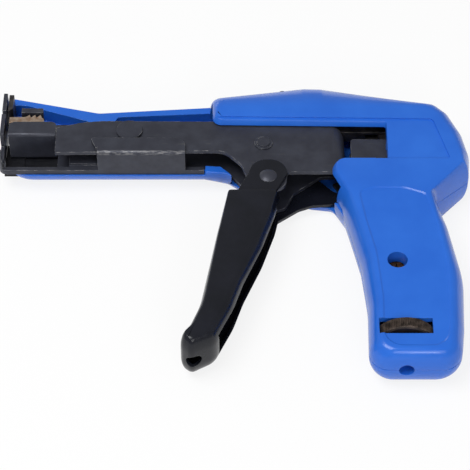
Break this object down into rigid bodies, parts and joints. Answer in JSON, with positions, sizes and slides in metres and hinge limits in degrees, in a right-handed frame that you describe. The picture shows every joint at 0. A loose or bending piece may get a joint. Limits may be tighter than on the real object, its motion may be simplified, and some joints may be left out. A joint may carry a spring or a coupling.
{
  "type": "cable tie tensioning tool",
  "caption": "Pistol-shaped hand tool that pulls a cable tie tight and cuts its tail: moulded blue body, open steel lever mechanism, black trigger and a tension wheel in the handle",
  "frame": {"origin": "On the resting face (Z = 0), on the axis of the trigger pin", "axes": "+X from the nose to the rear of the hood, +Y from the butt of the handle to the top of the hood, +Z out of the side that faces the viewer when the tool lies on its far side"},
  "size_m": [0.1774, 0.1362, 0.022],
  "materials": {
    "moulded_blue": "satin moulded",
    "blackened_steel": "blackened, worn at the edges",
    "black_paint": "satin black paint",
    "bare_steel": "bare, oiled",
    "spring_steel": "drawn wire",
    "warm_steel": "bare, tempered",
    "brass_screw": "darkened",
    "dark_screw": "blackened",
    "wheel_brown": "browned, worn at the rim"
  },
  "bodies": {
    "housing": {"housing_far_half": "moulded_blue", "housing_near_half": "moulded_blue", "handle_screw": "brass_screw", "hood_screws": "dark_screw", "barrel_frame": "blackened_steel", "barrel_liner": "blackened_steel", "frame_rivets": "bare_steel", "fixed_blade": "bare_steel", "anvil": "blackened_steel", "lever_pivot_pin": "blackened_steel", "crank_pin": "bare_steel"},
    "lever": {"cutter_lever": "blackened_steel", "nose_block": "blackened_steel", "lever_rivet": "blackened_steel", "trigger_spring": "spring_steel"},
    "trigger": {"trigger_grip": "black_paint", "trigger_plates": "black_paint", "trigger_pin": "blackened_steel"},
    "link": {"pull_link": "bare_steel", "pawl_pin": "bare_steel"},
    "pawl": {"gripper_pawl": "warm_steel"},
    "crank": {"bell_crank": "bare_steel", "link_pin": "bare_steel"},
    "yoke": {"tension_yoke": "bare_steel"},
    "nut": {"adjuster_nut": "bare_steel", "tension_spring": "spring_steel"},
    "wheel": {"adjuster_wheel": "wheel_brown", "adjuster_screw": "bare_steel"}
  },
  "joints": [
    {"name": "lever_tilt", "type": "hinge", "parent": "housing", "child": "lever", "pos_m": [-0.0523, 0.0247, 0.0122], "axis": [0, 0, -1], "range_deg": [0, 2], "stiffness_Nm_per_rad": 2, "springref_deg": -5.73},
    {"name": "trigger_squeeze", "type": "hinge", "parent": "lever", "child": "trigger", "pos_m": [0, 0, 0.0122], "axis": [0, 0, 1], "range_deg": [0, 27], "stiffness_Nm_per_rad": 0.3, "springref_deg": -8.59},
    {"name": "crank_turn", "type": "hinge", "parent": "housing", "child": "crank", "pos_m": [0.048, 0.018, 0.0122], "axis": [0, 0, -1], "range_deg": [0, 36.72]},
    {"name": "link_slide", "type": "slide", "parent": "housing", "child": "link", "axis": [1, 0, 0], "range_m": [0, 0.0108]},
    {"name": "pawl_tilt", "type": "hinge", "parent": "link", "child": "pawl", "pos_m": [-0.09, 0.02878, 0.0122], "axis": [0, 0, 1], "range_deg": [0, 6], "stiffness_Nm_per_rad": 0.01, "springref_deg": -5.73},
    {"name": "yoke_slide", "type": "slide", "parent": "housing", "child": "yoke", "axis": [0, -1, 0], "range_m": [0, 0.0029], "deforming": ["tension_spring"]},
    {"name": "wheel_turn", "type": "hinge", "parent": "housing", "child": "wheel", "pos_m": [0.04697, -0.07098, 0.011], "axis": [0, 1, 0], "range_deg": [0, 720]},
    {"name": "nut_slide", "type": "slide", "parent": "housing", "child": "nut", "axis": [0, 1, 0], "range_m": [0, 0.0025]}
  ],
  "couplings": [
    {"joint": "crank_turn", "follows": "trigger_squeeze", "ratio": 1.36},
    {"joint": "link_slide", "follows": "trigger_squeeze", "m_per_rad": 0.02273},
    {"joint": "yoke_slide", "follows": "lever_tilt", "m_per_rad": 0.0803},
    {"joint": "wheel_turn", "follows": "nut_slide", "rad_per_m": 5026}
  ]
}
